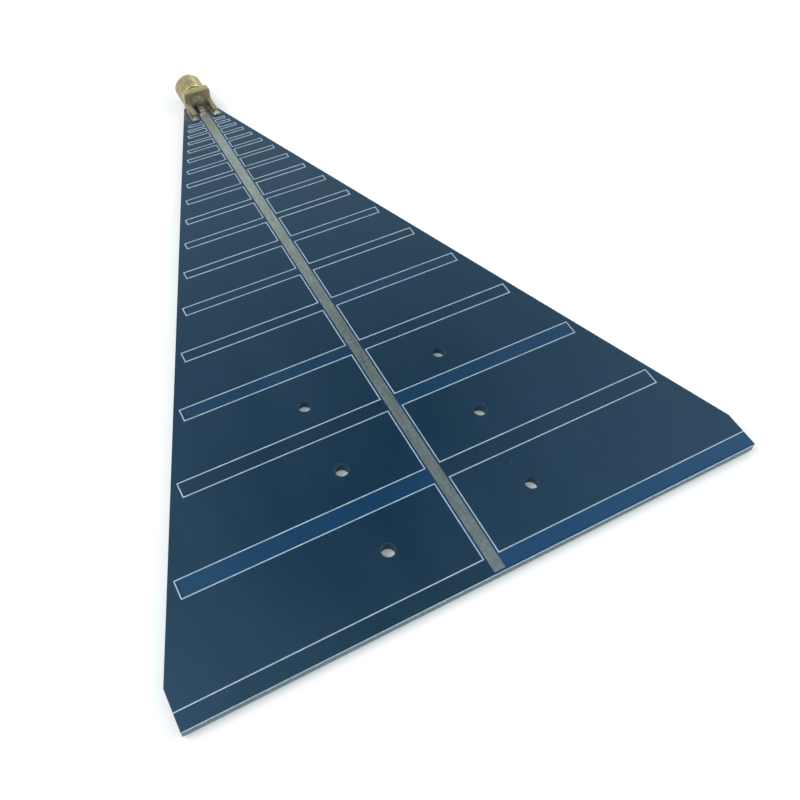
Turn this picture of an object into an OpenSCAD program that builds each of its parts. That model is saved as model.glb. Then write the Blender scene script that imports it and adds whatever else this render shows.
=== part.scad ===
// Printed log-periodic antenna with an edge-mounted coaxial jack, in millimetres.
// X runs across the board, Y along the feed line towards the tip, Z up.
// Origin: middle of the four outer mounting holes, on the laminate's lower face.
// Each dipole has one arm on the front copper and the other on the back copper,
// and every dipole is tau times the one behind it, seen from a common apex.

/* [Board] */
// Width of the board at its rear end
board_w = 110; // [100:1:130]
// Length of the board from the rear edge to the tip
board_len = 137; // [125:1:150]
// Length of the stretch with parallel sides at the rear
straight_len = 7.3; // [3:0.1:12]
// Width of the board at the tip
tip_w = 6.1; // [5:0.1:9]
// Thickness of the laminate
board_t = 2; // [1:0.1:2.2]

/* [Mounting holes] */
// Diameter of each mounting hole
hole_d = 2.5; // [2:0.1:3.2]
// Spacing of the holes across the board
hole_dx = 28.5; // [24:0.5:34]
// Spacing of the front and rear rows of holes
hole_dy = 33; // [32:0.5:34]
// Distance of the middle row ahead of the pattern's centre
mid_row_y = 1; // [0:0.1:2]
// Distance of the rear row from the rear edge
rear_margin = 12; // [11:0.5:13]

/* [Dipoles] */
// Scale from one dipole to the next one towards the tip
tau = 0.855; // [0.84:0.005:0.87]
// Number of the last dipole, counted from 0 at the rear edge
last_dipole = 17; // [12:1:17]
// Distance of the rear dipole's centre line from the rear edge
rear_inset = 1.2; // [0.5:0.1:3]
// Distance of the common apex beyond the tip
apex_gap = 2.8; // [2:0.1:4]
// How far the rear dipole's arms would stop short of the board's sides
arm_short = 0.1; // [0:0.05:0.2]
// Width of an arm for each millimetre from the apex
arm_aspect = 0.0255; // [0.02:0.0005:0.03]

/* [Feed line] */
// Width of the feed line's copper
line_w = 2.4; // [2:0.05:2.6]
// Width of the bare tinned strip along it
strip_w = 2.1; // [1.2:0.05:2.3]
// Sideways offset of the feed line from the board's centre line
line_x = 0.4; // [0:0.05:0.4]

/* [Layers] */
// Thickness of the copper
copper_t = 0.07; // [0.035:0.005:0.1]
// Thickness of the solder mask
mask_t = 0.04; // [0.02:0.005:0.06]
// Width of mask that wraps over a copper edge
mask_wrap = 0.08; // [0.05:0.01:0.1]
// Thickness of the tin on the bare copper
tin_t = 0.03; // [0.01:0.005:0.05]
// Distance from the board's edge to the copper
copper_inset = 0.3; // [0.1:0.05:0.6]
// Ring of bare laminate round each mounting hole
hole_ring = 0.25; // [0.1:0.05:0.5]
// Thickness of the printed outline
ink_t = 0.03; // [0.01:0.005:0.05]
// Width of the printed line
ink_w = 0.2; // [0.1:0.02:0.3]
// Gap between the masked copper's sides and the printed line
ink_gap = 0.03; // [0.01:0.01:0.1]
// Gap between an arm's copper end and the printed line
ink_end_gap = 0.5; // [0.2:0.05:0.8]
// Gap between the feed line's copper and the printed line
ink_line_gap = 0.2; // [0.1:0.05:0.3]

/* [Ground pads] */
// Sideways offset of the pads and the jack from the feed line
jack_dx = 0.3; // [0:0.05:0.4]
// Length of the ground pads from the tip
pad_len = 5.5; // [5.2:0.1:6]
// Distance of a pad's inner side from the jack's centre line
pad_in = 1.9; // [1.8:0.05:2]
// Distance of a pad's outer side from the jack's centre line
pad_out = 3.7; // [3.4:0.05:4]

/* [Jack body] */
// Width and height of the square flange
flange_w = 6.35; // [6:0.05:7]
// Thickness of the flange
flange_t = 1.7; // [1.2:0.1:2.5]
// Chamfer on the flange's long corners
flange_chamfer = 0.25; // [0.1:0.05:0.5]
// Diameter over the thread
thread_d = 6.35; // [6:0.01:6.4]
// Length of the barrel ahead of the flange
barrel_len = 6; // [5.6:0.1:12]
// Diameter of the relief between flange and thread
relief_d = 5.4; // [5:0.1:5.8]
// Length of the relief
relief_len = 1; // [0.8:0.1:2]
// Chamfer at both ends of the thread
thread_chamfer = 0.3; // [0.1:0.05:0.45]
// Diameter of the mouth
mouth_d = 4.6; // [4.5:0.01:4.7]
// Depth of the mouth down to the reference plane
mouth_depth = 1.9; // [1.5:0.05:2.2]
// Gap between the flange and the board's tip
seat_gap = 0.05; // [0.02:0.01:0.2]

/* [Jack legs] */
// Width of each leg
leg_w = 1; // [0.8:0.05:1.1]
// Length of each leg along the board
leg_len = 4.7; // [4:0.1:5]
// Height of the two legs on the front
leg_h = 1.2; // [0.8:0.05:1.5]
// Inset of the legs from the flange's sides
leg_inset = 0.1; // [0:0.05:0.2]
// Gap between the legs and the tinned pads, filled with solder
leg_gap = 0.05; // [0.02:0.01:0.1]

/* [Insulator and contact] */
// Diameter of the insulator
insulator_d = 4.1; // [3.8:0.05:4.2]
// Diameter of the centre contact
contact_d = 1.27; // [1.1:0.01:1.4]
// Diameter of the contact's socket
socket_d = 0.92; // [0.85:0.01:0.98]
// Depth of the socket
socket_depth = 3; // [2:0.1:4]
// Width of the slots between the socket's fingers
slot_w = 0.15; // [0.1:0.01:0.2]
// Depth of the slots
slot_depth = 2.2; // [1:0.1:3]
// Diameter of the tail on the feed line
tail_d = 0.8; // [0.6:0.05:0.9]
// Length of the tail behind the flange
tail_len = 3.6; // [3:0.1:4.5]
// Radial gap round the insulator and the contact
fit_gap = 0.02; // [0.01:0.005:0.03]

/* [Solder] */
// Height to which the solder climbs a leg
climb_h = 0.8; // [0.4:0.05:1]
// Reach of the solder beside a leg
fillet_w = 0.45; // [0.2:0.05:0.6]
// Reach of the solder behind a leg's or the tail's end
toe_len = 0.7; // [0.4:0.05:0.8]
// Thickness of the solder over the tail
cover_t = 0.12; // [0.05:0.01:0.3]
// Distance of the solder from the flange
solder_start = 0.3; // [0.2:0.05:0.6]

/* [Hidden] */
$fn = 72;
eps = 0.01;

rear_y = -hole_dy / 2 - rear_margin;
tip_y = rear_y + board_len;
apex_y = tip_y + apex_gap;
rear_reach = board_len + apex_gap - rear_inset;
arm_spread = (board_w / 2 - arm_short) / rear_reach;
hole_r = hole_d / 2;

front_z = board_t + copper_t + tin_t;
jack_x = line_x + jack_dx;
axis_z = front_z + leg_gap + tail_d / 2;
flange_y = tip_y + seat_gap;
barrel_end = flange_t + barrel_len;
plane_y = barrel_end - mouth_depth;
leg_x = flange_w / 2 - leg_inset - leg_w / 2;
lower_leg_h = flange_w / 2 - axis_z - copper_t - tin_t - leg_gap;
bare_edge = 0.05;
arc_steps = 6;

// Distance of dipole n from the apex, and its place on the board
function reach(n) = rear_reach * pow(tau, n);
function dipole_y(n) = apex_y - reach(n);
// Side of dipole n's arm on the front copper; its other arm is on the back
function front_side(n) = n % 2 == 0 ? 1 : -1;

// Layers are drawn on the front face and mirrored for the back face
module on_front() {
    translate([0, 0, board_t]) children();
}

module on_back() {
    mirror([0, 0, 1]) children();
}

module slab(from_z, to_z) {
    translate([0, 0, from_z]) linear_extrude(to_z - from_z) children();
}

module outline(inset = 0) {
    side = board_w / 2 - inset;
    tip = tip_w / 2 - inset;
    polygon([[-side, rear_y + inset], [side, rear_y + inset], [side, rear_y + straight_len],
        [tip, tip_y - inset], [-tip, tip_y - inset], [-side, rear_y + straight_len]]);
}

module hole_places() {
    for (sx = [-1, 1], y = [-hole_dy / 2, mid_row_y, hole_dy / 2])
        translate([sx * hole_dx / 2, y]) children();
}

// One arm, with room added along its sides and at its end
module arm(n, side, side_pad = 0, end_pad = 0) {
    length = arm_spread * reach(n) + end_pad;
    width = arm_aspect * reach(n) + 2 * side_pad;
    translate([side > 0 ? 0 : -length, dipole_y(n) - width / 2]) square([length, width]);
}

module feed_line(width, inset = 0) {
    translate([line_x - width / 2, rear_y + inset]) square([width, board_len - 2 * inset]);
}

// The arms on one face, joined by the feed line
module arm_net(face, pad = 0) {
    feed_line(line_w + 2 * pad, copper_inset - pad);
    intersection() {
        union() for (n = [0 : last_dipole]) arm(n, face * front_side(n), pad, pad);
        outline(copper_inset - pad);
    }
}

module front_pads(pad = 0) {
    intersection() {
        for (s = [-1, 1])
            translate([jack_x + (s > 0 ? pad_in : -pad_out) - pad, tip_y - pad_len - pad])
                square([pad_out - pad_in + 2 * pad, pad_len + 2 * pad]);
        outline(copper_inset - pad);
    }
}

module back_pad(pad = 0) {
    intersection() {
        translate([jack_x - pad_out - pad, tip_y - pad_len - pad])
            square([2 * (pad_out + pad), pad_len + 2 * pad]);
        outline(copper_inset - pad);
    }
}

module laminate() {
    color("tan") difference() {
        linear_extrude(board_t) outline();
        translate([0, 0, -eps]) hole_places() cylinder(r = hole_r, h = board_t + 2 * eps);
    }
}

module front_copper() {
    color("peru") on_front() slab(0, copper_t) {
        arm_net(1);
        front_pads();
    }
}

module back_copper() {
    color("peru") on_back() slab(0, copper_t) {
        arm_net(-1);
        back_pad();
    }
}

module front_bare() {
    feed_line(strip_w, copper_inset + bare_edge);
    front_pads(-bare_edge);
}

module back_bare() {
    feed_line(strip_w, copper_inset + bare_edge);
    back_pad(-bare_edge);
}

module front_tin() {
    color("silver") on_front() slab(copper_t, copper_t + tin_t) front_bare();
}

module back_tin() {
    color("silver") on_back() slab(copper_t, copper_t + tin_t) back_bare();
}

// Mask lies on the laminate and climbs over the copper
module mask_sheet() {
    difference() {
        linear_extrude(mask_t) outline();
        translate([0, 0, -eps]) hole_places() cylinder(r = hole_r + hole_ring, h = mask_t + 2 * eps);
    }
}

module front_mask() {
    color("midnightblue") on_front() difference() {
        union() {
            mask_sheet();
            slab(0, copper_t + mask_t) {
                arm_net(1, mask_wrap);
                front_pads(mask_wrap);
            }
        }
        slab(-eps, copper_t) {
            arm_net(1);
            front_pads();
        }
        slab(0, copper_t + mask_t + eps) front_bare();
    }
}

module back_mask() {
    color("midnightblue") on_back() difference() {
        union() {
            mask_sheet();
            slab(0, copper_t + mask_t) {
                arm_net(-1, mask_wrap);
                back_pad(mask_wrap);
            }
        }
        slab(-eps, copper_t) {
            arm_net(-1);
            back_pad();
        }
        slab(0, copper_t + mask_t + eps) back_bare();
    }
}

// Both arms of every dipole and the feed line, grown by a margin
module comb(grow) {
    for (n = [0 : last_dipole], side = [-1, 1])
        arm(n, side, mask_wrap + ink_gap + grow, ink_end_gap + grow);
    feed_line(line_w + 2 * (ink_line_gap + grow), 0);
}

module printed_outline() {
    color("white") on_front() slab(mask_t, mask_t + ink_t) intersection() {
        difference() {
            comb(ink_w);
            comb(0);
        }
        outline();
        translate([-board_w / 2, rear_y]) square([board_w, board_len - pad_len - 2 * ink_w]);
    }
}

// Places children on the jack's axis, with their Z along the board's Y
module on_axis() {
    translate([jack_x, flange_y, axis_z]) rotate([-90, 0, 0]) children();
}

module flange() {
    half = flange_w / 2;
    cut = half - flange_chamfer;
    linear_extrude(flange_t)
        polygon([[-cut, -half], [cut, -half], [half, -cut], [half, cut], [cut, half], [-cut, half],
            [-half, cut], [-half, -cut]]);
}

module barrel() {
    relief_r = relief_d / 2;
    thread_r = thread_d / 2;
    thread_from = flange_t + relief_len;
    rotate_extrude()
        polygon([[0, flange_t - eps], [relief_r, flange_t - eps], [relief_r, thread_from],
            [thread_r - thread_chamfer, thread_from], [thread_r, thread_from + thread_chamfer],
            [thread_r, barrel_end - thread_chamfer], [thread_r - thread_chamfer, barrel_end],
            [0, barrel_end]]);
}

// One leg from the flange back along the board, with its low corner at from_z
module leg(side, from_z, height) {
    translate([jack_x + side * leg_x - leg_w / 2, flange_y - leg_len, from_z])
        cube([leg_w, leg_len + eps, height]);
}

module front_legs() {
    for (side = [-1, 1]) leg(side, front_z + leg_gap, leg_h);
}

module back_legs() {
    for (side = [-1, 1]) leg(side, axis_z - flange_w / 2, lower_leg_h);
}

module jack_body() {
    color("goldenrod") {
        difference() {
            on_axis() union() {
                flange();
                barrel();
            }
            on_axis() translate([0, 0, -eps]) cylinder(d = insulator_d + 2 * fit_gap, h = barrel_end);
            on_axis() translate([0, 0, plane_y]) cylinder(d = mouth_d, h = mouth_depth + eps);
        }
        front_legs();
        back_legs();
    }
}

module jack_insulator() {
    color("whitesmoke") on_axis() difference() {
        cylinder(d = insulator_d, h = plane_y);
        translate([0, 0, -eps]) cylinder(d = contact_d + 2 * fit_gap, h = plane_y + 2 * eps);
    }
}

module jack_contact() {
    color("gold") on_axis() difference() {
        union() {
            cylinder(d = contact_d, h = plane_y);
            translate([0, 0, -tail_len]) cylinder(d = tail_d, h = tail_len + eps);
        }
        translate([0, 0, plane_y - socket_depth]) cylinder(d = socket_d, h = socket_depth + eps);
        for (turn = [0, 90])
            rotate([0, 0, turn]) translate([-contact_d, -slot_w / 2, plane_y - slot_depth])
                cube([2 * contact_d, slot_w, slot_depth + eps]);
    }
}

// Hollow curve of a fillet, from (0, height) down to (width, 0)
function hollow(width, height) = [for (i = [0 : arc_steps])
    let (a = 90 * i / arc_steps) [width * (1 - cos(a)), height * (1 - sin(a))]];

// Solder along Y with hollow sides: flat crown from left to right, reaching out beside and behind it
module solder_bead(left, right, from_y, to_y, height, reach_w, reach_end) {
    side = hollow(reach_w, height);
    back = hollow(reach_end, height);
    last = arc_steps;
    intersection() {
        translate([0, to_y, 0]) rotate([90, 0, 0]) linear_extrude(to_y - from_y + reach_end)
            polygon(concat([for (p = side) [right + p[0], p[1]]],
                [for (i = [last : -1 : 0]) [left - side[i][0], side[i][1]]]));
        translate([left - reach_w - eps, 0, 0]) rotate([90, 0, 90])
            linear_extrude(right - left + 2 * (reach_w + eps))
                polygon(concat([[to_y, 0], [to_y, height]], [for (p = back) [from_y - p[0], p[1]]]));
    }
}

module tail_solder() {
    color("lightgray") difference() {
        translate([0, 0, front_z])
            solder_bead(line_x - tail_d / 2, jack_x + tail_d / 2, flange_y - tail_len,
                flange_y - solder_start, leg_gap + tail_d + cover_t,
                (strip_w - tail_d) / 2 - jack_dx, toe_len);
        on_axis() translate([0, 0, -tail_len]) cylinder(d = tail_d, h = tail_len);
    }
}

// Beads along both legs of a face, kept on that face's pads
module leg_beads() {
    for (side = [-1, 1])
        solder_bead(jack_x + side * leg_x - leg_w / 2, jack_x + side * leg_x + leg_w / 2,
            flange_y - leg_len, flange_y - solder_start, climb_h, fillet_w, toe_len);
}

module front_leg_solder() {
    color("lightgray") difference() {
        intersection() {
            translate([0, 0, front_z]) leg_beads();
            slab(front_z, front_z + climb_h) front_pads(-bare_edge);
        }
        front_legs();
    }
}

module back_leg_solder() {
    color("lightgray") difference() {
        intersection() {
            on_back() translate([0, 0, copper_t + tin_t]) leg_beads();
            on_back() slab(copper_t + tin_t, copper_t + tin_t + lower_leg_h) back_pad(-bare_edge);
        }
        back_legs();
    }
}

laminate();
front_copper();
back_copper();
front_tin();
back_tin();
front_mask();
back_mask();
printed_outline();
jack_body();
jack_insulator();
jack_contact();
tail_solder();
front_leg_solder();
back_leg_solder();
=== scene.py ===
import bpy
import math
import numpy as np
from mathutils import Matrix, Vector


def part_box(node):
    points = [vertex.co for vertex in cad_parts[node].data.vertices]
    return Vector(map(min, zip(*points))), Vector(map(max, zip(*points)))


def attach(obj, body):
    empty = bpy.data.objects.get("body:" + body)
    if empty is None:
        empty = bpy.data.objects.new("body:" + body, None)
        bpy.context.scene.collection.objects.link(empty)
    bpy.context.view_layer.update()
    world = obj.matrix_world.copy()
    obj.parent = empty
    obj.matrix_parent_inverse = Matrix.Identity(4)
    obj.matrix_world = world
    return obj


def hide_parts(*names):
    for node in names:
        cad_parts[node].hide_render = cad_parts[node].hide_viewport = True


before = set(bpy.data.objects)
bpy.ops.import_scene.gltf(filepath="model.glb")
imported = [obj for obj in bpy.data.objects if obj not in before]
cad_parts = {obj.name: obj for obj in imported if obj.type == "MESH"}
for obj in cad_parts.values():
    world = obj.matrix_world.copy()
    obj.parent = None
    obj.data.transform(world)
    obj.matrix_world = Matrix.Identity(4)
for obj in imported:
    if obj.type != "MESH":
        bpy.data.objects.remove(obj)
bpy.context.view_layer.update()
scene = bpy.context.scene
mm = 0.001
sunk = 0.02 * mm    # how far a surface that lies on another reaches into it

# places that everything is worked out from, all read off the solids
boardLow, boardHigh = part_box("laminate")
jackLow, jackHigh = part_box("jack_body")
contactLow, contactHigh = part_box("jack_contact")
insulatorLow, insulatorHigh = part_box("jack_insulator")
frontTinLow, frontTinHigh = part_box("front_tin")
backTinLow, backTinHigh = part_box("back_tin")
boardMid = (boardLow.z + boardHigh.z) / 2
tipY = boardHigh.y
axisX = (contactLow.x + contactHigh.x) / 2
axisZ = (contactLow.z + contactHigh.z) / 2
flangeY = insulatorLow.y
print("frame loaded, board", round((boardHigh.x - boardLow.x) / mm, 1), "mm wide")


# A surface is a grid of points, rows by columns by 3.
# Indices of the quads between neighbouring grid points; a closed direction joins its last line to its first
def gridQuads(rows, columns, closeRows, closeColumns, start):
    r = np.arange(rows if closeRows else rows - 1)[:, None]
    c = np.arange(columns if closeColumns else columns - 1)[None, :]
    rNext, cNext = (r + 1) % rows, (c + 1) % columns
    corners = [r * columns + c, r * columns + cNext, rNext * columns + cNext, rNext * columns + c]
    return np.stack([np.broadcast_to(k, (r.size, c.size)) for k in corners], -1).reshape(-1, 4) + start


# Puts several grids into one mesh. Each grid is (points, closeRows, closeColumns), and a grid whose
# columns close but whose rows don't gets a flat cap on its first and last row.
def makePiece(name, grids, material, smoothAngle=35):
    points, quads, caps, count = [], [], [], 0
    for grid, closeRows, closeColumns in grids:
        rows, columns = grid.shape[:2]
        points.append(grid.reshape(-1, 3))
        quads.append(gridQuads(rows, columns, closeRows, closeColumns, count))
        if closeColumns and not closeRows:
            caps.append(np.arange(columns)[::-1] + count)
            caps.append(np.arange(columns) + count + (rows - 1) * columns)
        count += rows * columns
    mesh = bpy.data.meshes.new(name)
    faces = np.concatenate(quads).tolist() + [c.tolist() for c in caps]
    mesh.from_pydata(np.concatenate(points).tolist(), [], faces)
    mesh.validate()
    mesh.materials.append(material)
    piece = bpy.data.objects.new(name, mesh)
    scene.collection.objects.link(piece)
    finishNormals(piece, smoothAngle)
    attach(piece, "root")
    return piece


# Turns all faces outwards and shades smooth up to an angle
def finishNormals(piece, smoothAngle):
    bpy.context.view_layer.objects.active = piece
    piece.select_set(True)
    bpy.ops.object.mode_set(mode="EDIT")
    bpy.ops.mesh.select_all(action="SELECT")
    bpy.ops.mesh.normals_make_consistent(inside=False)
    bpy.ops.object.mode_set(mode="OBJECT")
    bpy.ops.object.shade_smooth_by_angle(angle=math.radians(smoothAngle))
    piece.select_set(False)


# Rounds the corners of a closed profile: each corner becomes a short parabola that starts and ends
# at distance radius from it, or at 0.4 of the shorter side next to it if that is less
def roundedProfile(corners, radius, steps=4):
    p = np.array(corners, float)
    before, after = np.roll(p, 1, 0) - p, np.roll(p, -1, 0) - p
    lengthBefore = np.linalg.norm(before, axis=1, keepdims=True)
    lengthAfter = np.linalg.norm(after, axis=1, keepdims=True)
    cut = np.minimum(radius, 0.4 * np.minimum(lengthBefore, lengthAfter))
    a, b = p + before / lengthBefore * cut, p + after / lengthAfter * cut
    t = np.linspace(0, 1, steps)[None, :, None]
    curve = (1 - t) ** 2 * a[:, None] + 2 * t * (1 - t) * p[:, None] + t ** 2 * b[:, None]
    return curve.reshape(-1, 2)


# Adds a node: settings are its own properties, and inputs are linked where given a socket
def addNode(tree, kind, inputs=None, **settings):
    node = tree.nodes.new(kind)
    for key, value in settings.items():
        setattr(node, key, value)
    for key, value in (inputs or {}).items():
        if isinstance(value, bpy.types.NodeSocket):
            tree.links.new(value, node.inputs[key])
        else:
            node.inputs[key].default_value = value
    return node


def calc(tree, operation, a, b=0.0):
    return addNode(tree, "ShaderNodeMath", {0: a, 1: b}, operation=operation).outputs[0]


def remap(tree, value, low, high, toLow=0.0, toHigh=1.0, smooth=False):
    inputs = {"Value": value, "From Min": low, "From Max": high, "To Min": toLow, "To Max": toHigh}
    kind = "SMOOTHSTEP" if smooth else "LINEAR"
    return addNode(tree, "ShaderNodeMapRange", inputs, interpolation_type=kind).outputs["Result"]


def blendColour(tree, amount, a, b, way="MIX"):
    node = addNode(tree, "ShaderNodeMix", {0: amount, 6: a, 7: b}, data_type="RGBA", blend_type=way)
    return node.outputs[2]


# Noise on the object's own coordinates; stretch squeezes it along each axis
def noise(tree, spot, scale, detail=3.0, stretch=(1, 1, 1), rough=0.55):
    moved = addNode(tree, "ShaderNodeMapping", {"Vector": spot, "Scale": stretch}).outputs[0]
    inputs = {"Vector": moved, "Scale": scale, "Detail": detail, "Roughness": rough}
    return addNode(tree, "ShaderNodeTexNoise", inputs).outputs["Fac"]


def bump(tree, height, strength, distance, normal=None):
    inputs = {"Height": height, "Strength": strength, "Distance": distance}
    if normal is not None:
        inputs["Normal"] = normal
    return addNode(tree, "ShaderNodeBump", inputs).outputs["Normal"]


# Starts a material: returns it with its tree, its shader, its object coordinates and their x, y, z
def startMaterial(name, **sockets):
    material = bpy.data.materials.new(name)
    material.use_nodes = True
    tree = material.node_tree
    shader = tree.nodes["Principled BSDF"]
    for key, value in sockets.items():
        shader.inputs[key].default_value = value
    spot = addNode(tree, "ShaderNodeTexCoord").outputs["Object"]
    split = addNode(tree, "ShaderNodeSeparateXYZ", {0: spot})
    return material, tree, shader, spot, split.outputs


# 1 near the soldered joint at the tip, falling to 0 over the given length
def nearJoint(tree, xyz, reach):
    along = calc(tree, "SUBTRACT", tipY, xyz[1])
    return remap(tree, along, reach, reach * 0.35, 0.0, 1.0, smooth=True)


# Full on the parts of the jack that face the joint, falling to 0 over the given depth of the flange
def facingJoint(tree, xyz, depth, most=1.0):
    return remap(tree, xyz[1], flangeY + depth, flangeY + 0.1 * mm, 0.0, most, smooth=True)


maskLook = {
    "bare": (0.0035, 0.0250, 0.0530, 1),     # mask on bare laminate
    "copper": (0.0034, 0.0445, 0.1240, 1),   # mask on copper at the wide end, with the copper's painted sheen
    "shade": (0.0030, 0.0225, 0.0480, 1),    # mask where the back face has copper
    "cloud": (0.0060, 0.0300, 0.0620, 1),
    "dust": (0.35, 0.38, 0.40, 1),
    "flux": (0.165, 0.140, 0.080, 1),        # brown residue round the joint
    "fluxReach": 6.5 * mm,
    "fluxShare": 0.75,
    "dustShare": 0.35,
    "shadeShare": 0.7,
    "levels": (0.05 * mm, 0.09 * mm),        # heights over the laminate between which mask lies on copper
    "sheen": (0.39, 0.68, 1.0, 1),           # tint of what the film reflects
    "sheenFadeEnd": 52 * mm,                      # painted sheen: where the copper's painted sheen has faded to its least
    # share of the copper's colour, painted sheen included, left at the tip
    "sheenFadeTo": 0.12,
    "roughness": 0.24,
    "weavePitch": 0.55 * mm,                 # spacing of the glass yarns that print through
}


# the rule that places the arms: rear is the first arm's distance from the apex, and the apex a y
arms = {"tau": 0.855, "rear": 138.6 * mm, "apex": tipY + 2.8 * mm, "aspect": 0.0255, "spread": 0.396}


# 1 on the dipole arms of one face: distance from the apex R falls in an arm of width aspect * R when
# log(R / R0) / log(tau) is close to a whole number, and the side of that arm alternates with it
def armPattern(tree, xyz, side):
    reach = calc(tree, "SUBTRACT", arms["apex"], xyz[1])
    order = calc(tree, "LOGARITHM", calc(tree, "DIVIDE", reach, arms["rear"]), arms["tau"])
    whole = calc(tree, "ROUND", order)
    offset = calc(tree, "ABSOLUTE", calc(tree, "SUBTRACT", order, whole))
    halfWidth = arms["aspect"] / 2 / -math.log(arms["tau"])
    onRow = remap(tree, offset, halfWidth * 1.25, halfWidth * 0.75)
    odd = calc(tree, "MODULO", calc(tree, "ADD", whole, 2.0), 2.0)
    turn = calc(tree, "SUBTRACT", 1.0, calc(tree, "MULTIPLY", odd, 2.0))
    signed = calc(tree, "MULTIPLY", calc(tree, "MULTIPLY", xyz[0], turn), side)
    length = calc(tree, "MULTIPLY", reach, arms["spread"])
    onSide = calc(tree, "MULTIPLY", remap(tree, signed, 0.0, 0.2 * mm),
                  remap(tree, calc(tree, "SUBTRACT", length, signed), 0.0, 0.3 * mm))
    return calc(tree, "MULTIPLY", onRow, onSide)


def solderMask():
    material, tree, shader, spot, xyz = startMaterial(
        "blueMask", **{"Specular IOR Level": 0.83, "Specular Tint": maskLook["sheen"]})
    height = calc(tree, "ABSOLUTE", calc(tree, "SUBTRACT", xyz[2], boardMid))
    halfBoard = (boardHigh.z - boardLow.z) / 2
    bareLevel, copperLevel = maskLook["levels"]
    overCopper = remap(tree, height, halfBoard + bareLevel, halfBoard + copperLevel)
    farArms = calc(tree, "MULTIPLY", armPattern(tree, xyz, -1.0), maskLook["shadeShare"])
    bare = blendColour(tree, farArms, maskLook["bare"], maskLook["shade"])
    cloud = noise(tree, spot, 38.0, 3.0)
    bare = blendColour(tree, remap(tree, cloud, 0.3, 0.75, 0.0, 0.5), bare, maskLook["cloud"])
    # painted reflection: the sheen of the copper under the mask is painted brightest at the wide end and
    # fades towards the tip
    copperSheen = remap(tree, xyz[1], boardLow.y, maskLook["sheenFadeEnd"], 1.0, maskLook["sheenFadeTo"])
    colour = blendColour(tree, calc(tree, "MULTIPLY", overCopper, copperSheen), bare, maskLook["copper"])
    speck = noise(tree, spot, 2600.0, 1.0)
    dusty = remap(tree, noise(tree, spot, 90.0), 0.45, 0.6)
    dust = calc(tree, "MULTIPLY", remap(tree, speck, 0.775, 0.80), dusty)
    colour = blendColour(tree, calc(tree, "MULTIPLY", dust, maskLook["dustShare"]), colour, maskLook["dust"])
    spread = remap(tree, noise(tree, spot, 900.0, 4.0), 0.36, 0.56)
    flux = calc(tree, "MULTIPLY", nearJoint(tree, xyz, maskLook["fluxReach"]), spread)
    colour = blendColour(tree, calc(tree, "MULTIPLY", flux, maskLook["fluxShare"]), colour, maskLook["flux"])
    tree.links.new(colour, shader.inputs["Base Color"])
    smear = noise(tree, spot, 60.0, 4.0, (1, 0.35, 1))
    rough = remap(tree, smear, 0.3, 0.7, maskLook["roughness"] - 0.05, maskLook["roughness"] + 0.07)
    rough = calc(tree, "ADD", rough, calc(tree, "MULTIPLY", dust, 0.3))
    tree.links.new(rough, shader.inputs["Roughness"])
    # glass cloth: crossed waves of the yarns' spacing, and a fine unevenness of the cured film
    wave = 2 * math.pi / maskLook["weavePitch"]
    warp = calc(tree, "SINE", calc(tree, "MULTIPLY", xyz[0], wave))
    weft = calc(tree, "SINE", calc(tree, "MULTIPLY", xyz[1], wave))
    cloth = calc(tree, "MULTIPLY", warp, weft)
    peel = noise(tree, spot, 1400.0, 2.0)
    normal = bump(tree, cloth, 0.035, 0.02 * mm)
    normal = bump(tree, peel, 0.10, 0.02 * mm, normal)
    normal = bump(tree, dust, 0.3, 0.02 * mm, normal)
    tree.links.new(normal, shader.inputs["Normal"])
    return material


inkLook = {
    "thick": (0.47, 0.62, 0.73, 1),
    "even": (0.32, 0.47, 0.58, 1),
    "worn": (0.12, 0.21, 0.28, 1),
    "roughness": (0.48, 0.66),
}


def printedInk():
    material, tree, shader, spot, _ = startMaterial("printedInk", **{"Specular IOR Level": 0.4})
    patch = noise(tree, spot, 700.0, 4.0)
    colour = blendColour(tree, remap(tree, patch, 0.35, 0.7), inkLook["even"], inkLook["thick"])
    thin = remap(tree, noise(tree, spot, 5200.0, 2.0), 0.58, 0.74, 0.0, 0.5)
    colour = blendColour(tree, thin, colour, inkLook["worn"])
    tree.links.new(colour, shader.inputs["Base Color"])
    tree.links.new(remap(tree, patch, 0.3, 0.7, *inkLook["roughness"]), shader.inputs["Roughness"])
    tree.links.new(bump(tree, noise(tree, spot, 9000.0, 2.0), 0.3, 0.01 * mm), shader.inputs["Normal"])
    return material


tinLook = {
    "light": (0.29, 0.36, 0.345, 1),
    "lighter": (0.40, 0.475, 0.455, 1),
    "streak": (0.20, 0.23, 0.205, 1),
    "brown": (0.165, 0.150, 0.115, 1),
    "spark": (0.56, 0.63, 0.61, 1),
    "violet": (0.325, 0.360, 0.370, 1),
    "green": (0.300, 0.370, 0.290, 1),
    "wideEndShade": (0.56, 0.60, 0.64, 1),         # painted shade: what the wide end's colour is multiplied by
    "flux": (0.200, 0.165, 0.098, 1),
    "fluxReach": 14 * mm,
    "fluxShare": 0.85,
    "roughness": (0.34, 0.52),
    # where the painted shade begins, and where it is full towards the wide end
    "noShadeFrom": 72 * mm,
    "fullShadeUpTo": 22 * mm,
}


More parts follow.
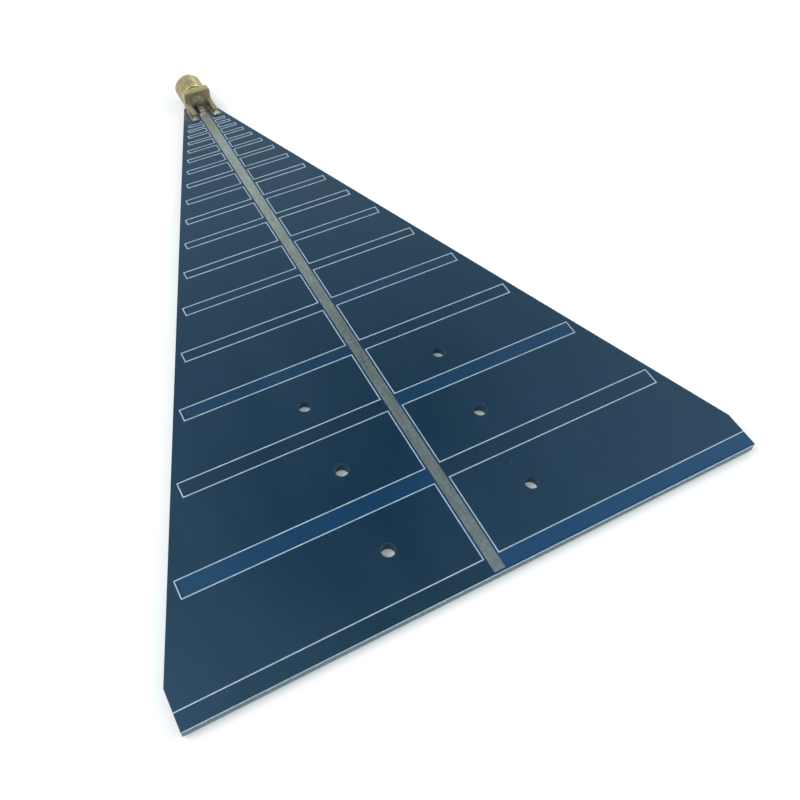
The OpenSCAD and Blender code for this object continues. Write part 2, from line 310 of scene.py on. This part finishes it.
# Levelled tin: dull grey with streaks along the line, darker blotches, and brown flux by the joint
def levelledTin():
    material, tree, shader, spot, xyz = startMaterial("levelledTin", **{"Metallic": 1.0})
    streak = noise(tree, spot, 1300.0, 4.0, (1, 0.10, 1))
    blotch = noise(tree, spot, 260.0, 4.0, (1, 0.5, 1))
    grain = noise(tree, spot, 2600.0, 3.0, (1, 0.5, 1), 0.65)
    # painted shade: the tin is darker towards the wide end
    dimmer = remap(tree, xyz[1], tinLook["noShadeFrom"], tinLook["fullShadeUpTo"], 0.0, 1.0, smooth=True)
    colour = blendColour(tree, remap(tree, blotch, 0.3, 0.7), tinLook["light"], tinLook["lighter"])
    colour = blendColour(tree, remap(tree, streak, 0.5, 0.75, 0.0, 0.6), colour, tinLook["streak"])
    colour = blendColour(tree, remap(tree, grain, 0.52, 0.68, 0.0, 0.5), colour, tinLook["brown"])
    colour = blendColour(tree, remap(tree, grain, 0.46, 0.32, 0.0, 0.5), colour, tinLook["spark"])
    hue = noise(tree, spot, 170.0, 3.0, (1.6, 0.7, 1))
    colour = blendColour(tree, remap(tree, hue, 0.50, 0.66, 0.0, 0.6), colour, tinLook["violet"])
    colour = blendColour(tree, remap(tree, hue, 0.48, 0.36, 0.0, 0.6), colour, tinLook["green"])
    colour = blendColour(tree, dimmer, colour, tinLook["wideEndShade"], "MULTIPLY")
    spread = remap(tree, blotch, 0.35, 0.6, 0.3, 1.0)
    flux = calc(tree, "MULTIPLY", nearJoint(tree, xyz, tinLook["fluxReach"]), spread)
    colour = blendColour(tree, calc(tree, "MULTIPLY", flux, tinLook["fluxShare"]), colour, tinLook["flux"])
    tree.links.new(colour, shader.inputs["Base Color"])
    tree.links.new(remap(tree, flux, 0.0, 1.0, 1.0, 0.35), shader.inputs["Metallic"])
    tree.links.new(remap(tree, streak, 0.3, 0.7, *tinLook["roughness"]), shader.inputs["Roughness"])
    normal = bump(tree, streak, 0.25, 0.02 * mm)
    normal = bump(tree, blotch, 0.35, 0.05 * mm, normal)
    tree.links.new(bump(tree, grain, 0.5, 0.03 * mm, normal), shader.inputs["Normal"])
    return material


solderLook = {
    "dimmer": (0.25, 0.26, 0.255, 1),
    "bright": (0.43, 0.44, 0.43, 1),
    "residue": (0.105, 0.085, 0.048, 1),
    "residueShare": 0.85,
    "roughness": (0.26, 0.48),
}


def brightSolder():
    material, tree, shader, spot, _ = startMaterial("brightSolder", **{"Metallic": 1.0})
    blotch = noise(tree, spot, 1500.0, 3.0)
    colour = blendColour(tree, remap(tree, blotch, 0.35, 0.65), solderLook["dimmer"], solderLook["bright"])
    residue = remap(tree, noise(tree, spot, 650.0, 4.0), 0.46, 0.62, 0.0, solderLook["residueShare"])
    colour = blendColour(tree, residue, colour, solderLook["residue"])
    tree.links.new(colour, shader.inputs["Base Color"])
    tree.links.new(remap(tree, blotch, 0.3, 0.7, *solderLook["roughness"]), shader.inputs["Roughness"])
    tree.links.new(bump(tree, blotch, 0.35, 0.05 * mm), shader.inputs["Normal"])
    return material


goldLook = {
    "bright": (0.53, 0.485, 0.27, 1),
    "dimmer": (0.35, 0.315, 0.185, 1),
    "stain": (0.15, 0.125, 0.075, 1),
    "flux": (0.270, 0.230, 0.130, 1),
    "fluxDepth": 0.6 * mm,
    "fluxShare": 0.7,
    "roughness": (0.34, 0.22),
}


def platedGold():
    material, tree, shader, spot, xyz = startMaterial("platedGold", **{"Metallic": 1.0})
    haze = noise(tree, spot, 420.0, 4.0)
    turning = noise(tree, spot, 1500.0, 2.0, (0.05, 14, 0.05))
    colour = blendColour(tree, remap(tree, haze, 0.3, 0.7), goldLook["dimmer"], goldLook["bright"])
    handled = remap(tree, noise(tree, spot, 1100.0, 5.0), 0.56, 0.7, 0.0, 0.45)
    colour = blendColour(tree, handled, colour, goldLook["stain"])
    # a film of flux lies on what faces the joint
    uneven = remap(tree, haze, 0.35, 0.6, 0.45, 1.0)
    film = calc(tree, "MULTIPLY", facingJoint(tree, xyz, goldLook["fluxDepth"]), uneven)
    colour = blendColour(tree, calc(tree, "MULTIPLY", film, goldLook["fluxShare"]), colour, goldLook["flux"])
    tree.links.new(colour, shader.inputs["Base Color"])
    tree.links.new(remap(tree, film, 0.0, 1.0, 1.0, 0.3), shader.inputs["Metallic"])
    tree.links.new(remap(tree, haze, 0.3, 0.7, *goldLook["roughness"]), shader.inputs["Roughness"])
    tree.links.new(bump(tree, turning, 0.18, 0.01 * mm), shader.inputs["Normal"])
    return material


insulatorLook = {
    "shaded": (0.72, 0.71, 0.67, 1),
    "clean": (0.88, 0.87, 0.84, 1),
    "fluxDark": (0.17, 0.14, 0.085, 1),
    "fluxLight": (0.35, 0.31, 0.20, 1),
    "fluxDepth": 1.2 * mm,
    "fluxShare": 0.9,
    "roughness": (0.38, 0.5),
}


def whiteInsulator():
    material, tree, shader, spot, xyz = startMaterial(
        "whiteInsulator", **{"Subsurface Weight": 0.15, "Subsurface Scale": 0.0005})
    cloud = noise(tree, spot, 900.0, 3.0)
    colour = blendColour(tree, cloud, insulatorLook["shaded"], insulatorLook["clean"])
    # flux has browned the end that faces the joint
    browned = facingJoint(tree, xyz, insulatorLook["fluxDepth"], insulatorLook["fluxShare"])
    thick = remap(tree, cloud, 0.35, 0.65)
    flux = blendColour(tree, thick, insulatorLook["fluxDark"], insulatorLook["fluxLight"])
    tree.links.new(blendColour(tree, browned, colour, flux), shader.inputs["Base Color"])
    tree.links.new(remap(tree, cloud, 0.3, 0.7, *insulatorLook["roughness"]), shader.inputs["Roughness"])
    tree.links.new(bump(tree, noise(tree, spot, 4200.0, 2.0), 0.1, 0.01 * mm), shader.inputs["Normal"])
    return material


holes = {"side": 14.25 * mm, "rows": (-16.5 * mm, 1.0 * mm, 16.5 * mm)}


# 1 within the given distance of a mounting hole's middle
def nearHole(tree, xyz, radius):
    across = calc(tree, "SUBTRACT", calc(tree, "ABSOLUTE", xyz[0]), holes["side"])
    gaps = [calc(tree, "ABSOLUTE", calc(tree, "SUBTRACT", xyz[1], row)) for row in holes["rows"]]
    along = calc(tree, "MINIMUM", calc(tree, "MINIMUM", gaps[0], gaps[1]), gaps[2])
    squares = calc(tree, "ADD", calc(tree, "MULTIPLY", across, across), calc(tree, "MULTIPLY", along, along))
    return calc(tree, "LESS_THAN", squares, radius ** 2)


laminateLook = {
    "plyDark": (0.105, 0.165, 0.190, 1),
    "plyLight": (0.170, 0.245, 0.275, 1),
    "fibre": (0.36, 0.42, 0.43, 1),
    # pale crushed fibres, brightened into a painted highlight of the top edge
    "crushedHighlight": (0.56, 0.73, 0.82, 1),
    # painted shade inside the holes
    "holeWallShade": (0.030, 0.105, 0.165, 1),
    "holeRing": (0.012, 0.038, 0.066, 1),
    "holeReach": 1.6 * mm,                   # hole's radius and its ring of bare laminate
    "plyWaves": 50.0,                        # radians of the plies' wave through the thickness
    "plyWander": 5.0,
    "roughness": (0.55, 0.8),
}


# Sawn laminate: glass plies stacked through the thickness, crushed pale along the front face's edge with a
# painted highlight there, and painted shade in dark teal on the walls of the holes
def sawnLaminate():
    material, tree, shader, spot, xyz = startMaterial("sawnLaminate", **{"Specular IOR Level": 0.3})
    thickness = boardHigh.z - boardLow.z
    depth = calc(tree, "DIVIDE", calc(tree, "SUBTRACT", xyz[2], boardLow.z), thickness)
    wander = noise(tree, spot, 420.0, 3.0, (1, 1, 2))
    waves = calc(tree, "MULTIPLY", depth, laminateLook["plyWaves"])
    wander = calc(tree, "MULTIPLY", wander, laminateLook["plyWander"])
    ply = calc(tree, "SINE", calc(tree, "ADD", waves, wander))
    pale = remap(tree, ply, -1.0, 1.0)
    colour = blendColour(tree, pale, laminateLook["plyDark"], laminateLook["plyLight"])
    fibre = noise(tree, spot, 4200.0, 3.0, (1, 1, 0.25))
    colour = blendColour(tree, remap(tree, fibre, 0.52, 0.7, 0.0, 0.6), colour, laminateLook["fibre"])
    # crushed fibres with a painted highlight along the top of the sawn faces
    ragged = calc(tree, "ADD", depth, remap(tree, noise(tree, spot, 1700.0, 3.0), 0.3, 0.7, -0.08, 0.08))
    crushedHighlight = remap(tree, ragged, 0.72, 0.85, 0.0, 0.95)
    colour = blendColour(tree, crushedHighlight, colour, laminateLook["crushedHighlight"])
    # the ring round a hole's mouth is as dark as the mask, and the walls below it are darkened with painted
    # shade
    onTop = remap(tree, depth, 0.985, 0.995)
    ringAndShadedWall = blendColour(tree, onTop, laminateLook["holeWallShade"], laminateLook["holeRing"])
    colour = blendColour(tree, nearHole(tree, xyz, laminateLook["holeReach"]), colour, ringAndShadedWall)
    tree.links.new(colour, shader.inputs["Base Color"])
    tree.links.new(remap(tree, fibre, 0.3, 0.7, *laminateLook["roughness"]), shader.inputs["Roughness"])
    normal = bump(tree, ply, 0.25, 0.03 * mm)
    tree.links.new(bump(tree, fibre, 0.5, 0.04 * mm, normal), shader.inputs["Normal"])
    return material


copperLook = {"dark": (0.42, 0.20, 0.12, 1), "bright": (0.66, 0.36, 0.24, 1), "roughness": (0.3, 0.5)}


def etchedCopper():
    material, tree, shader, spot, _ = startMaterial("etchedCopper", **{"Metallic": 1.0})
    blotch = noise(tree, spot, 600.0, 4.0)
    colour = blendColour(tree, blotch, copperLook["dark"], copperLook["bright"])
    tree.links.new(colour, shader.inputs["Base Color"])
    tree.links.new(remap(tree, blotch, 0.3, 0.7, *copperLook["roughness"]), shader.inputs["Roughness"])
    tree.links.new(bump(tree, noise(tree, spot, 5000.0, 2.0), 0.2, 0.01 * mm), shader.inputs["Normal"])
    return material


looks = {
    "mask": solderMask(),
    "ink": printedInk(),
    "tin": levelledTin(),
    "solder": brightSolder(),
    "gold": platedGold(),
    "insulator": whiteInsulator(),
    "laminate": sawnLaminate(),
    "copper": etchedCopper(),
}
# which look each piece of the solid model gets where nothing replaces it
cadLooks = {
    "laminate": "laminate",
    "front_copper": "copper",
    "back_copper": "copper",
    "front_mask": "mask",
    "back_mask": "mask",
    "printed_outline": "ink",
    "jack_insulator": "insulator",
    "jack_contact": "gold",
}
for nodeName, lookName in cadLooks.items():
    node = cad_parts[nodeName]
    node.data.materials.clear()
    node.data.materials.append(looks[lookName])
print("materials made:", len(looks))


jack = {
    "flangeThickness": 1.7 * mm,
    "flangeSquareness": 14,            # power of the superellipse that draws the flange
    "flangeBevel": 0.12 * mm,
    "reliefRadius": 2.7 * mm,
    "reliefLength": 1.0 * mm,
    "threadPitch": 25.4 / 36 * mm,
    "threadDepth": 0.38 * mm,
    "toothSlope": 1.45,                # above 1 the flanks are steeper, with crest and root cut flat
    "crestFlat": 0.22,
    "runOut": 0.45 * mm,               # length over which the thread rises from its root at both ends
    "rowsPerTurn": 36,
    "columns": 120,
    "flangeColumns": 240,
    "mouthRadius": 2.3 * mm,
    "mouthChamfer": 0.2 * mm,
    "rooted": 0.4 * mm,                # how far the barrel's wall reaches into the flange
    "boreRadius": 2.07 * mm,
    "edge": 0.1 * mm,
    "legWidth": 1.0 * mm,
    "legInset": 0.1 * mm,
    "legBevel": 0.12 * mm,
    "legSquareness": 8,
    "legLength": 4.7 * mm,
    "legRooted": 0.3 * mm,             # how far a leg reaches into the flange
    "frontLegHeight": 1.2 * mm,
    "legGap": 0.05 * mm,
}
flangeHalf = (jackHigh.x - jackLow.x) / 2
threadRadius = flangeHalf
legFrontZ = frontTinHigh.z + jack["legGap"]
legBackZ = backTinLow.z - jack["legGap"]
legX = flangeHalf - jack["legInset"] - jack["legWidth"] / 2


# Revolved points about the jack's axis: along gives y, radius may change with the angle
def aroundAxis(along, radius, angle):
    x = axisX + radius * np.cos(angle)
    z = axisZ + radius * np.sin(angle)
    return np.stack([x, np.broadcast_to(along, x.shape), z], -1)


# Barrel: a closed profile of (y, radius) turned once round. On the thread's rows the radius is
# crest - depth * tooth, where tooth is slope * triangle wave - flat, held between 0 and 1, and the
# wave's phase is y / pitch - angle / full turn
def barrelGrid():
    start = flangeY + jack["flangeThickness"]
    threadStart, end = start + jack["reliefLength"], jackHigh.y
    crest, root = threadRadius, threadRadius - jack["threadDepth"]
    plane, bore, mouth = insulatorHigh.y, jack["boreRadius"], jack["mouthRadius"]
    relief, chamfer, foot = jack["reliefRadius"], jack["mouthChamfer"], start - jack["rooted"]
    # from the thread's end over the rim, into the mouth, down the bore and back along the relief
    corners = [
        (end - 0.02 * mm, root - 0.05 * mm),
        (end, root - 0.1 * mm),
        (end, mouth + chamfer),
        (end - chamfer, mouth),
        (plane, mouth),
        (plane, bore),
        (foot, bore),
        (foot, relief),
        (threadStart - 0.05 * mm, relief),
        (threadStart, root - 0.2 * mm),
    ]
    plain = roundedProfile(corners, jack["edge"])
    turns = (end - threadStart) / jack["threadPitch"]
    rows = int(turns * jack["rowsPerTurn"])
    threadY = np.linspace(threadStart + 0.02 * mm, end - 0.04 * mm, rows)
    angle = np.linspace(0, 2 * math.pi, jack["columns"], endpoint=False)[None, :]
    phase = (threadY[:, None] / jack["threadPitch"] - angle / (2 * math.pi)) % 1.0
    tooth = np.clip(jack["toothSlope"] * np.abs(2 * phase - 1) - jack["crestFlat"], 0, 1)
    fromEnd = np.minimum(threadY - threadStart, end - threadY)[:, None]
    cap = root + np.clip(fromEnd / jack["runOut"], 0, 1) * jack["threadDepth"]
    threadR = np.minimum(crest - jack["threadDepth"] * tooth, cap)
    plainR = np.broadcast_to(plain[:, 1:2], (len(plain), jack["columns"]))
    along = np.concatenate([threadY, plain[:, 0]])[:, None]
    return aroundAxis(along, np.concatenate([threadR, plainR]), angle), True, True


# Flange: a closed profile from the bore out to a superellipse and back; in polar form its outer
# radius is half / (|cos|^n + |sin|^n)^(1/n), which is a square with rounded corners
def flangeGrid():
    n, bevel, depth = jack["flangeSquareness"], jack["flangeBevel"], jack["flangeThickness"]
    angle = np.linspace(0, 2 * math.pi, jack["flangeColumns"], endpoint=False)[None, :]
    square = (np.abs(np.cos(angle)) ** n + np.abs(np.sin(angle)) ** n) ** (-1 / n)
    low, high = flangeY, flangeY + depth
    steps = np.linspace(0, math.pi / 2, 5)
    firstY, firstCut = low + bevel * (1 - np.sin(steps)), bevel * (1 - np.cos(steps))
    rimY = np.concatenate([firstY[::-1], (high - firstY + low)])
    rimCut = np.concatenate([firstCut[::-1], firstCut])
    share = np.array([0.35, 0.7])
    outer = (flangeHalf - rimCut)[:, None] * square
    face = flangeHalf - bevel
    backFace = jack["boreRadius"] + (face * square - jack["boreRadius"]) * share[:, None]
    rim = np.full((1, angle.size), jack["boreRadius"])
    radius = np.concatenate([rim, backFace, outer, backFace[::-1], rim])
    along = np.concatenate([[low], [low] * 2, rimY, [high] * 2, [high]])[:, None]
    return aroundAxis(along, radius, angle), True, True


# Bar with rounded edges along Y: a superellipse in X and Z, with radius 1 / (|cos|^n + |sin|^n)^(1/n),
# drawn in by a quarter circle towards both ends
def barGrid(low, high, bevel):
    steps = np.linspace(0, math.pi / 2, 4)
    inset = bevel * (1 - np.sin(steps))
    fromEnd = bevel * (1 - np.cos(steps))
    along = np.concatenate([low[1] + fromEnd, high[1] - fromEnd[::-1]])
    shrink = np.concatenate([inset, inset[::-1]])[:, None]
    angle = np.linspace(0, 2 * math.pi, 64, endpoint=False)[None, :]
    c, s = np.cos(angle), np.sin(angle)
    n = jack["legSquareness"]
    square = (np.abs(c) ** n + np.abs(s) ** n) ** (-1 / n)
    x = (low[0] + high[0]) / 2 + ((high[0] - low[0]) / 2 - shrink) * c * square
    z = (low[2] + high[2]) / 2 + ((high[2] - low[2]) / 2 - shrink) * s * square
    return np.stack([x, np.broadcast_to(along[:, None], x.shape), z], -1), False, True


# Four bars that straddle the board: one pair above the front face and one below the back face
def legGrids():
    grids = []
    for side in (-1, 1):
        left = axisX + side * legX - jack["legWidth"] / 2
        right = left + jack["legWidth"]
        rear, front = flangeY - jack["legLength"], flangeY + jack["legRooted"]
        grids.append(barGrid((left, rear, legFrontZ), (right, front, legFrontZ + jack["frontLegHeight"]),
                             jack["legBevel"]))
        grids.append(barGrid((left, rear, jackLow.z), (right, front, legBackZ), jack["legBevel"]))
    return grids


jackGrids = [flangeGrid(), barrelGrid()] + legGrids()
jackBody = makePiece("jackBody", jackGrids, looks["gold"], smoothAngle=40)
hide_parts("jack_body")
print("jack made")


tin = {
    "crown": 0.035 * mm,
    "ripple": 0.012 * mm,
    "waves": (900, 2300, 5200),        # of the ripple, in radians a metre
    "baseShare": 0.3,                  # share of the tin's thickness that lies under the dome
    "endLength": 0.3 * mm,             # over which the dome falls to nothing at both ends
    "columns": 13,
    "rowLength": 0.4 * mm,
}


# Tin on a long pad: height across is crown * (1 - u^2)^(1/2), with slow ripples along it. left and
# right give the pad's sides for each y; up is 1 on the front face and -1 on the back
def tinGrid(lowY, highY, left, right, base, up):
    rows = max(8, int((highY - lowY) / tin["rowLength"]))
    y = np.linspace(lowY, highY, rows)[:, None]
    u = np.linspace(-1, 1, tin["columns"])[None, :]
    x = left(y) + (right(y) - left(y)) * (u + 1) / 2
    dome = np.sqrt(np.clip(1 - u ** 2, 0, 1))
    ends = np.clip(np.minimum(y - lowY, highY - y) / tin["endLength"], 0, 1) ** 0.5
    slow, middle, fast = tin["waves"]
    ripple = np.sin(y * slow + 2 * u) * np.sin(y * middle + 1.3 * u + 1) + 0.6 * np.sin(y * fast - 3 * u)
    height = (tin["crown"] + tin["ripple"] * ripple) * dome * ends
    top = np.stack([x, np.broadcast_to(y, x.shape), base + up * height], -1)
    under = np.stack([x, np.broadcast_to(y, x.shape), np.full(x.shape, base - up * sunk)], -1)
    return np.concatenate([top, under[:, ::-1]], 1), False, True


# Low and high x of a node's points within a stretch of y
def spanAcross(nodeName, lowY, highY):
    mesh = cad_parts[nodeName].data
    points = np.empty(len(mesh.vertices) * 3)
    mesh.vertices.foreach_get("co", points)
    points = points.reshape(-1, 3)
    inside = points[(points[:, 1] >= lowY) & (points[:, 1] <= highY)]
    return inside[:, 0].min(), inside[:, 0].max()


stripLeft, stripRight = spanAcross("front_tin", frontTinLow.y, frontTinLow.y + mm)
pads = {"length": 5.45 * mm, "inner": 1.95 * mm, "inset": 0.35 * mm, "tipHalf": 3.05 * mm, "slope": 0.377}


# Sides of the pads for each y: the pad's own side, or a line beside the board's sloping edge where
# that is nearer to the middle
def padRight(y):
    return np.minimum(frontTinHigh.x, pads["tipHalf"] - pads["inset"] + (tipY - y) * pads["slope"])


def padLeft(y):
    return np.maximum(frontTinLow.x, -(pads["tipHalf"] - pads["inset"] + (tipY - y) * pads["slope"]))


# Tin of one face: the long strip, and at the tip either one pad across the board or two pads that
# leave the middle free
def tinGrids(base, up, wholeTip):
    rear, tip = frontTinLow.y, frontTinHigh.y
    padRear = tipY - pads["length"]
    strip = [tinGrid(rear, padRear if wholeTip else tip, lambda y: stripLeft + 0 * y,
                     lambda y: stripRight + 0 * y, base, up)]
    if wholeTip:
        return strip + [tinGrid(padRear, tip, padLeft, padRight, base, up)]
    innerLeft, innerRight = axisX - pads["inner"], axisX + pads["inner"]
    return strip + [tinGrid(padRear, tip, lambda y: innerRight + 0 * y, padRight, base, up),
                    tinGrid(padRear, tip, padLeft, lambda y: innerLeft + 0 * y, base, up)]


tinThickness = frontTinHigh.z - frontTinLow.z
frontTinBase = frontTinLow.z + tin["baseShare"] * tinThickness
frontTinGrids = tinGrids(frontTinBase, up=1, wholeTip=False)
frontTin = makePiece("frontTin", frontTinGrids, looks["tin"], smoothAngle=60)
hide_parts("front_tin")
backTinBase = backTinHigh.z - tin["baseShare"] * tinThickness
backTinGrids = tinGrids(backTinBase, up=-1, wholeTip=True)
backTin = makePiece("backTin", backTinGrids, looks["tin"], smoothAngle=60)
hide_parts("back_tin")
print("tin made")


solder = {
    "toe": 0.7 * mm,                   # reach of a bead ahead of the bar's ends, and beside it
    "side": 0.42 * mm,
    "start": 0.3 * mm,                 # distance from the flange
    "climb": 0.8 * mm,
    "backClimb": 0.7,                  # share of a back leg's height that the solder climbs
    "inset": 0.05 * mm,                # of a bead's top within the leg's width
    "footprint": 0.55,                 # share of the rows that lies under the bar
    "hollow": 2.2,
    "squareness": 5,
    "lump": 0.05,
    "lumpWaves": 2200,
}


# Solder bead round a bar that lies along Y: with d the distance outside the bar's footprint as a
# share of the reach, the height is climb * (1 - d)^hollow, a fillet, on a superelliptic outline
def beadGrid(low, high, reach, climb, base, up, seed):
    share = np.concatenate([np.linspace(0.02, 0.5, 5), np.linspace(0.56, 1, 18)])[:, None]
    angle = np.linspace(0, 2 * math.pi, 72, endpoint=False)[None, :]
    c, s = np.cos(angle), np.sin(angle)
    n, footprint = solder["squareness"], solder["footprint"]
    square = (np.abs(c) ** n + np.abs(s) ** n) ** (-1 / n)
    halfX, halfY = (high[0] - low[0]) / 2, (high[1] - low[1]) / 2
    inner = np.clip(share / footprint, 0, 1)
    outside = np.clip((share - footprint) / (1 - footprint), 0, 1)
    wobble = 1 + solder["lump"] * (np.sin(3 * angle + seed) + 0.7 * np.sin(5 * angle + 2 * seed))
    spreadX = halfX * inner + reach[0] * outside * wobble
    spreadY = halfY * inner + reach[1] * outside * wobble
    x = (low[0] + high[0]) / 2 + spreadX * c * square
    y = (low[1] + high[1]) / 2 + spreadY * s * square
    y = np.minimum(y, flangeY - 0.02 * mm)
    lumps = 1 + solder["lump"] * np.sin(solder["lumpWaves"] * y + seed)
    height = climb * (1 - outside) ** solder["hollow"] * lumps
    top = np.stack([x, y, base + up * height], -1)
    under = top[::-1][:1].copy()
    under[..., 2] = base - up * sunk
    return np.concatenate([top, under]), False, True


# One bead for each of the two legs on a face, inset a little in the leg's width
def legBeads(base, up, climb):
    beads = []
    for side in (-1, 1):
        left = axisX + side * legX - jack["legWidth"] / 2 + solder["inset"]
        right = left + jack["legWidth"] - 2 * solder["inset"]
        beads.append(beadGrid((left, flangeY - jack["legLength"]), (right, flangeY - solder["start"]),
                              (solder["side"], solder["toe"]), climb, base, up, 1.7 * side + up))
    return beads


tail = {"radius": 0.4 * mm, "length": 3.6 * mm, "cover": 0.12 * mm, "rightShare": 0.5}
tailSide = stripRight - axisX - tail["radius"]
tailLow = (stripLeft + tailSide, flangeY - tail["length"])
tailHigh = (axisX + tail["rightShare"] * tail["radius"], flangeY - solder["start"])
tailClimb = 2 * tail["radius"] + jack["legGap"] + tail["cover"]
tailBead = beadGrid(tailLow, tailHigh, (tailSide, solder["toe"]), tailClimb, frontTinLow.z, up=1, seed=0.4)
tailSolder = makePiece("tailSolder", [tailBead], looks["solder"], smoothAngle=60)
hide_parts("tail_solder")
frontBeads = legBeads(frontTinLow.z, up=1, climb=solder["climb"])
frontLegSolder = makePiece("frontLegSolder", frontBeads, looks["solder"], smoothAngle=60)
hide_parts("front_leg_solder")
backClimb = (legBackZ - jackLow.z) * solder["backClimb"]
backBeads = legBeads(backTinHigh.z, up=-1, climb=backClimb)
backLegSolder = makePiece("backLegSolder", backBeads, looks["solder"], smoothAngle=60)
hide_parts("back_leg_solder")
print("solder made")


studio = {
    "floorSize": 4.0,
    "floorColour": (0.88, 0.88, 0.88, 1),
    "floorGap": 0.02 * mm,             # between the floor and the lowest point
    "floorLift": 0.22,                 # floor's own glow near the object
    "liftColour": (0.82, 0.96, 1.0, 1),
    "liftFrom": 0.25,                  # distances between which the glow rises to 1
    "liftTo": 1.2,
}


def floorPlane():
    half = studio["floorSize"] / 2
    mesh = bpy.data.meshes.new("studioFloor")
    low = min(jackLow.z, boardLow.z) - studio["floorGap"]
    mesh.from_pydata([(-half, -half, low), (half, -half, low), (half, half, low), (-half, half, low)], [],
                     [(0, 1, 2, 3)])
    floor = bpy.data.objects.new("studioFloor", mesh)
    scene.collection.objects.link(floor)
    material, tree, shader, spot, _ = startMaterial(
        "paleFloor", **{"Base Color": studio["floorColour"], "Roughness": 0.9, "Specular IOR Level": 0.0})
    path = addNode(tree, "ShaderNodeLightPath").outputs
    seen = calc(tree, "MAXIMUM", path["Is Camera Ray"], path["Is Glossy Ray"])
    # the lift grows with the distance from the middle, where the lamps no longer reach
    away = addNode(tree, "ShaderNodeVectorMath", {0: spot}, operation="LENGTH").outputs["Value"]
    lift = remap(tree, away, studio["liftFrom"], studio["liftTo"], studio["floorLift"], 1.0)
    glow = addNode(tree, "ShaderNodeEmission", {"Color": studio["liftColour"],
                                                 "Strength": calc(tree, "MULTIPLY", seen, lift)})
    both = addNode(tree, "ShaderNodeAddShader", {0: shader.outputs[0], 1: glow.outputs[0]})
    tree.links.new(both.outputs[0], tree.nodes["Material Output"].inputs["Surface"])
    mesh.materials.append(material)


# Sky: an even fill for diffuse light, white for the camera, and for reflections nearly white with one
# shaded patch overhead. With a and b the way's x and y less those of the patch's middle, its level is
# shade plus growth times a^2, b^2 and ab, and never above most
sky = {"fill": 0.60, "shade": 0.05, "most": 0.92, "middle": (0.245, 0.457), "growth": (9.64, 13.35, 5.35)}


def studioWorld():
    world = bpy.data.worlds.new("studioWorld")
    world.use_nodes = True
    tree = world.node_tree
    background = tree.nodes["Background"]
    way = addNode(tree, "ShaderNodeTexCoord").outputs["Generated"]
    split = addNode(tree, "ShaderNodeSeparateXYZ", {0: way}).outputs
    offX = calc(tree, "SUBTRACT", split[0], sky["middle"][0])
    offY = calc(tree, "SUBTRACT", split[1], sky["middle"][1])
    products = [calc(tree, "MULTIPLY", a, b) for a, b in ((offX, offX), (offY, offY), (offX, offY))]
    level = sky["shade"]
    for product, growth in zip(products, sky["growth"]):
        level = calc(tree, "ADD", calc(tree, "MULTIPLY", product, growth), level)
    level = calc(tree, "MINIMUM", level, sky["most"])
    path = addNode(tree, "ShaderNodeLightPath").outputs
    mirrored, seen = path["Is Glossy Ray"], path["Is Camera Ray"]
    strength = addNode(tree, "ShaderNodeMix", {0: mirrored, 2: sky["fill"], 3: level}).outputs[0]
    strength = addNode(tree, "ShaderNodeMix", {0: seen, 2: strength, 3: 1.0}).outputs[0]
    tree.links.new(strength, background.inputs["Strength"])
    background.inputs["Color"].default_value = (1, 1, 1, 1)
    scene.world = world


lamps = {
    "keyLight": {"place": (-0.35, 0.10, 0.55), "size": 0.35, "power": 1.7},
    "fillLight": {"place": (0.45, -0.25, 0.45), "size": 0.4, "power": 0.9},
}
lampTarget = (0, 0.03, 0)


def softLight(name, place, size, power):
    light = bpy.data.lights.new(name, "AREA")
    light.size = size
    light.energy = power
    holder = bpy.data.objects.new(name, light)
    scene.collection.objects.link(holder)
    holder.location = place
    holder.rotation_mode = "QUATERNION"
    holder.rotation_quaternion = (Vector(lampTarget) - Vector(place)).to_track_quat("-Z", "Y")


# Camera: a place above and behind the board's rear left corner, and its own right and up directions
cameraSpot = {
    "place": (-49.10 * mm, -76.22 * mm, 139.98 * mm),
    "right": (0.87944, -0.47503, 0.03059),
    "up": (0.36915, 0.72118, 0.58620),
    "lens": 41.27,
    "sensor": 36.0,
    "clip": (0.005, 20.0),
}


def studioCamera():
    camera = bpy.data.cameras.new("studioCamera")
    camera.lens = cameraSpot["lens"]
    camera.sensor_width = cameraSpot["sensor"]
    camera.clip_start, camera.clip_end = cameraSpot["clip"]
    holder = bpy.data.objects.new("studioCamera", camera)
    scene.collection.objects.link(holder)
    right = Vector(cameraSpot["right"]).normalized()
    back = right.cross(Vector(cameraSpot["up"])).normalized()
    up = back.cross(right)
    turn = Matrix((right, up, back)).transposed().to_4x4()
    holder.matrix_world = Matrix.Translation(cameraSpot["place"]) @ turn
    scene.camera = holder


floorPlane()
studioWorld()
for lampName, lamp in lamps.items():
    softLight(lampName, **lamp)
studioCamera()
scene.view_settings.view_transform = "Standard"
print("studio made")
